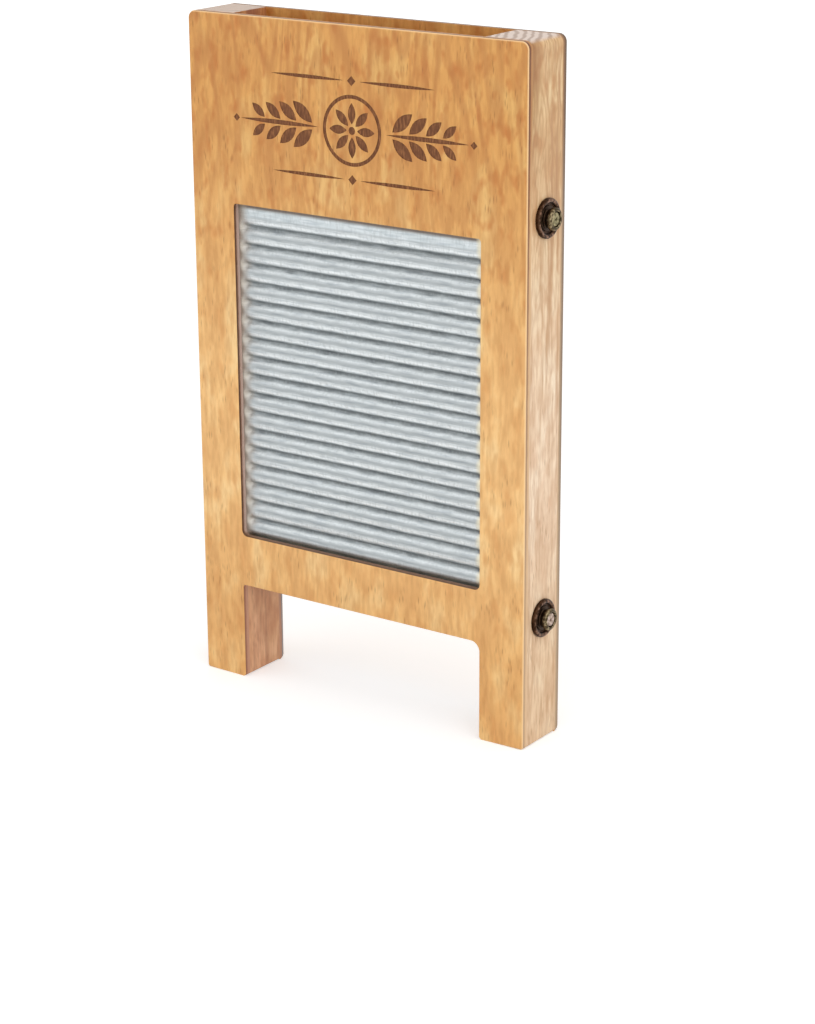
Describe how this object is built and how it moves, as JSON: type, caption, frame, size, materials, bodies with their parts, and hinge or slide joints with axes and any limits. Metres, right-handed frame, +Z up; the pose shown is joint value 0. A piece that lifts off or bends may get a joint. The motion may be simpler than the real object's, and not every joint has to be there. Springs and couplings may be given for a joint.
{
  "type": "washboard",
  "caption": "Small box-form washboard on two legs, with a ribbed metal sheet in a wooden window frame and press-studs on the sides for a shoulder strap.",
  "frame": {"origin": "middle of the base, on the surface that the legs stand on", "axes": "+X across the board to the player's right as seen from the front, -Y out of the front face, +Z up"},
  "size_m": [0.164, 0.026, 0.27],
  "materials": {
    "front_ply": "oiled plywood face, laser-cut edges",
    "back_ply": "oiled plywood face, laser-cut edges",
    "post_wood": "planed softwood, oiled",
    "galvanised_sheet": "galvanised, pressed ribs",
    "antique_brass": "antique finish, rubbed bright on the edges",
    "screw_steel": "bronze-coloured plating"
  },
  "bodies": {
    "root": {"front_panel": "front_ply", "back_panel": "back_ply", "left_post": "post_wood", "right_post": "post_wood", "ribbed_sheet": "galvanised_sheet", "stud_base_upper_left": "antique_brass", "stud_upper_left": "antique_brass", "stud_screw_upper_left": "screw_steel", "stud_base_lower_left": "antique_brass", "stud_lower_left": "antique_brass", "stud_screw_lower_left": "screw_steel", "stud_base_upper_right": "antique_brass", "stud_upper_right": "antique_brass", "stud_screw_upper_right": "screw_steel", "stud_base_lower_right": "antique_brass", "stud_lower_right": "antique_brass", "stud_screw_lower_right": "screw_steel"}
  },
  "joints": []
}
